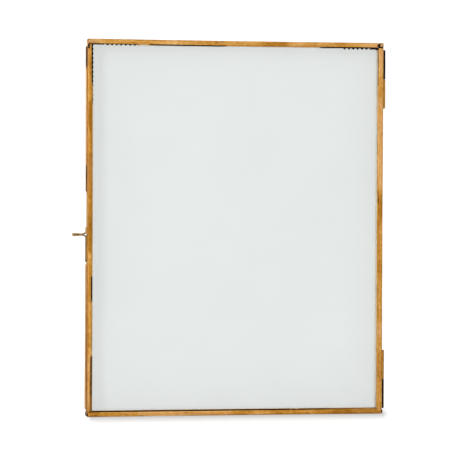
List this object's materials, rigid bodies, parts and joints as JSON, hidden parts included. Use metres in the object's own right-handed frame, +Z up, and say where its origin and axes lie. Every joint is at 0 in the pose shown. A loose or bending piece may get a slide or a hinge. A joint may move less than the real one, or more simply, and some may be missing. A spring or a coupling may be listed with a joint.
{
  "type": "hinged photo frame",
  "caption": "Upright hinged photo frame of folded antique brass channel with two clear glass panes, side hinges and a wire eye closure with a pin.",
  "frame": {"origin": "on the back face at the middle of the top rail, where the frame meets a wall", "axes": "+X right as seen from the front, +Y back into the wall, +Z up"},
  "size_m": [0.2173, 0.0091, 0.256],
  "materials": {
    "brass": "antique satin",
    "dark_brass": "dark patina",
    "pane": "clear"
  },
  "bodies": {
    "back_leaf": {"back_top_rail": "brass", "back_bottom_rail": "brass", "back_left_stile": "brass", "back_right_stile": "brass", "back_glass": "pane", "back_latch_eye": "brass", "upper_side_strip": "brass", "lower_side_strip": "brass", "upper_hinge_back_knuckle": "dark_brass", "lower_hinge_back_knuckle": "dark_brass", "upper_hinge_pin": "dark_brass", "lower_hinge_pin": "dark_brass"},
    "front_leaf": {"front_top_rail": "brass", "front_bottom_rail": "brass", "front_left_stile": "brass", "front_right_stile": "brass", "front_glass": "pane", "front_latch_eye": "brass", "upper_hinge_front_knuckle": "brass", "lower_hinge_front_knuckle": "brass"},
    "latch_pin": {"latch_pin": "dark_brass"}
  },
  "joints": [
    {"name": "front_leaf_swing", "type": "hinge", "parent": "back_leaf", "child": "front_leaf", "pos_m": [0.10375, -0.00455, -0.12625], "axis": [0, 0, 1], "range_deg": [0, 180]},
    {"name": "latch_pin_slide", "type": "slide", "parent": "front_leaf", "child": "latch_pin", "axis": [0, -1, 0], "range_m": [0, 0.007]}
  ]
}
